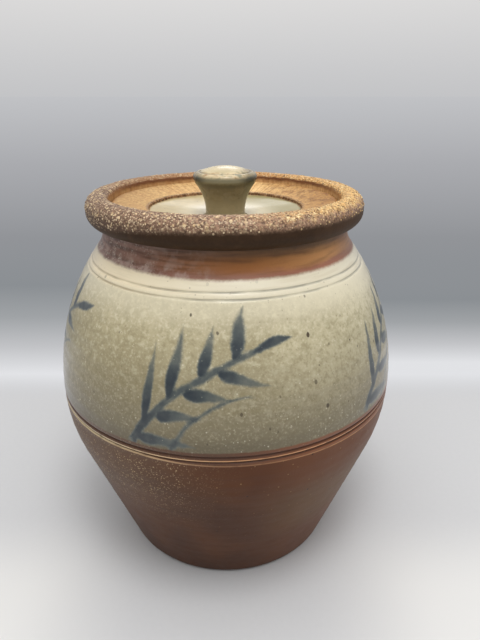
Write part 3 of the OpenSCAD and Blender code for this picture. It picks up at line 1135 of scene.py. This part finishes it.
def floor_finish():
    """Pale paper under the jar, lighter at the sides and far front by painted light; behind it the camera
    sees it fade through grey into the backdrop.
    """
    material, spot = new_finish("pale_paper", 51.0)
    at = spot.at
    tooth = at.noise(3.0, seed=54.0)
    # painted light: the paper is lighter to the sides and far in front, leaving a darker strip near the
    # jar as its painted broad shadow
    sides = abs(spot.x).ease(40.0, 120.0)
    corners = spot.y.ease(-15.0, -80.0) * sides.high(spot.y.ease(-110.0, -230.0))
    pale = layered(
        tooth.blend((206, 206, 207), (210, 210, 211)),
        (corners, (228, 227, 225)),
    )
    shader = at.node("ShaderNodeBsdfDiffuse", None, {"Color": pale})
    depth = (spot.y * MM + PAPER_BACK).high(0.01)
    fall = PAPER_EYE / depth
    steeper = (spot.x * MM / depth).ease(-0.1, 0.3) * fall.ease(0.3, 0.4) * 0.4
    shift = (fall - HORIZON_FALL) * steeper
    fall = fall + shift.low((BRIGHTEST_FALL - fall).high(0.0))
    grey = at.node("ShaderNodeValToRGB", {"stops": BACKDROP_STOPS}, {0: fall})
    glow = at.node("ShaderNodeEmission", None, {"Color": grey})
    back = spot.y.ease(110.0, 170.0) * seen(at)
    mixed = at.node("ShaderNodeMixShader", None, {0: back, 1: shader, 2: glow})
    at.node("ShaderNodeOutputMaterial", None, {"Surface": mixed})
    return material


# Pieces

wheel = wheel_tree()
jar_shape, jar_marks = jar_section()
TILT_REACH = 30.0
RINGS_FULL_FROM = 20.0
near_belly = np.exp(-(((jar_shape.run - jar_marks["belly"]) / TILT_REACH) ** 2))
above_foot = np.clip(jar_shape.points[:, 1] / RINGS_FULL_FROM, 0, 1)
on_wall = np.where(jar_shape.run < jar_marks["neck"], above_foot, 0.0)
jar = throw("thrown_jar", jar_shape, jar_finish(jar_marks), wheel, on_wall, near_belly, {
    "Ring height": 6.5 * MM,
    "Ring depth": 0.07 * MM,
    "Sway": 0.0012,
    "Line tilt": 1.1 * MM,
    "Crust from": jar_marks["ash"] * MM,
    "Crust to": (jar_marks["lip"] - 2.0) * MM,
    "Crust depth": 0.7 * MM,
})
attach(jar, "jar")
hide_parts("jar")

lid_shape, lid_marks = lid_section()
still = np.zeros(len(lid_shape.points))
lid = throw("sunk_lid", lid_shape, lid_finish(lid_marks), wheel, still, still, {
    "Crust from": (lid_marks["edge"] - 2.0) * MM,
    "Crust to": (lid_marks["dish"] + 1.0) * MM,
    "Crust depth": 0.8 * MM,
})
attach(lid, "lid")
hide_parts("lid")

knob_shape, knob_marks = knob_section()
still = np.zeros(len(knob_shape.points))
knob = throw("finger_knob", knob_shape, knob_finish(knob_marks), wheel, still, still, {})
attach(knob, "lid")
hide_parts("lid_knob")

strew = grain_tree()
ash = grain_finish()
rim_grains = grown("rim_ash_grains", jar.data, strew, {
    "From": (jar_marks["ash"] + 0.5) * MM,
    "To": (jar_marks["lip"] - 4.0) * MM,
    "Spacing": 1.3 * MM,
    "Smallest": 0.16 * MM,
    "Largest": 0.6 * MM,
    "Seed": 5,
    "Finish": ash,
})
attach(rim_grains, "jar")

edge_grains = grown("dish_edge_grains", lid.data, strew, {
    "From": (lid_marks["edge"] - 1.8) * MM,
    "To": lid_marks["edge"] * MM,
    "Spacing": 0.8 * MM,
    "Smallest": 0.14 * MM,
    "Largest": 0.42 * MM,
    "Seed": 9,
    "Finish": ash,
})
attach(edge_grains, "lid")


# Stage, light and camera

FLOOR_REACH = 40.0
floor_mesh = bpy.data.meshes.new("floor")
corners = [(a * FLOOR_REACH, b * FLOOR_REACH, 0.0) for a, b in ((-1, -1), (1, -1), (1, 1), (-1, 1))]
floor_mesh.from_pydata(corners, [], [(0, 1, 2, 3)])
floor_mesh.materials.append(floor_finish())
floor = bpy.data.objects.new("floor", floor_mesh)
bpy.context.scene.collection.objects.link(floor)


def softbox(name, place, width, depth, watts, tilt=0.0):
    """An oblong area light that faces down, or tilted by degrees toward the front."""
    lamp = bpy.data.lights.new(name, "AREA")
    lamp.shape = "RECTANGLE"
    lamp.size = width
    lamp.size_y = depth
    lamp.energy = watts
    holder = bpy.data.objects.new(name, lamp)
    holder.location = place
    holder.rotation_euler.x = math.radians(-tilt)
    bpy.context.scene.collection.objects.link(holder)


softbox("overhead_softbox", (0.03, -0.2, 1.0), width=1.2, depth=1.2, watts=5.0)
softbox("overhead_lamp", (0.06, -0.3, 0.9), width=0.28, depth=0.28, watts=2.4)
softbox("back_softbox", (0.01, 1.2, 0.74), width=0.26, depth=0.18, watts=0.58, tilt=65.5)


def studio_world():
    """Soft light that is strongest from above; the camera sees a pale grey that lightens upward."""
    world = bpy.data.worlds.new("studio")
    bpy.context.scene.world = world
    world.use_nodes = True
    tree = world.node_tree
    tree.nodes.clear()
    way = Wire(tree, None).node("ShaderNodeTexCoord", None, None, "Generated")
    rise = way.node("ShaderNodeSeparateXYZ", None, {0: way}).out("Z")
    grey = rise.ease(-0.1, 0.3).blend((188, 189, 192), (234, 232, 230))
    shown = way.node("ShaderNodeBackground", None, {"Color": grey, "Strength": 1.0})
    soft = rise.ease(-0.2, 0.9).blend((0.28, 0.28, 0.28, 1), (0.62, 0.62, 0.62, 1))
    light = way.node("ShaderNodeBackground", None, {"Color": soft, "Strength": 1.0})
    mixed = way.node("ShaderNodeMixShader", None, {0: seen(way), 1: light, 2: shown})
    way.node("ShaderNodeOutputWorld", None, {"Surface": mixed})


studio_world()

CAMERA_PLACE = (0.0079, -PAPER_BACK, PAPER_EYE)
CAMERA_PITCH = 23.6
CAMERA_LENS = 29.25
lens = bpy.data.cameras.new("camera")
lens.lens = CAMERA_LENS
lens.clip_start = 0.01
camera = bpy.data.objects.new("camera", lens)
camera.location = CAMERA_PLACE
camera.rotation_euler = (math.radians(90 - CAMERA_PITCH), 0.0, 0.0)
bpy.context.scene.collection.objects.link(camera)
bpy.context.scene.camera = camera
bpy.context.scene.view_settings.view_transform = "Standard"
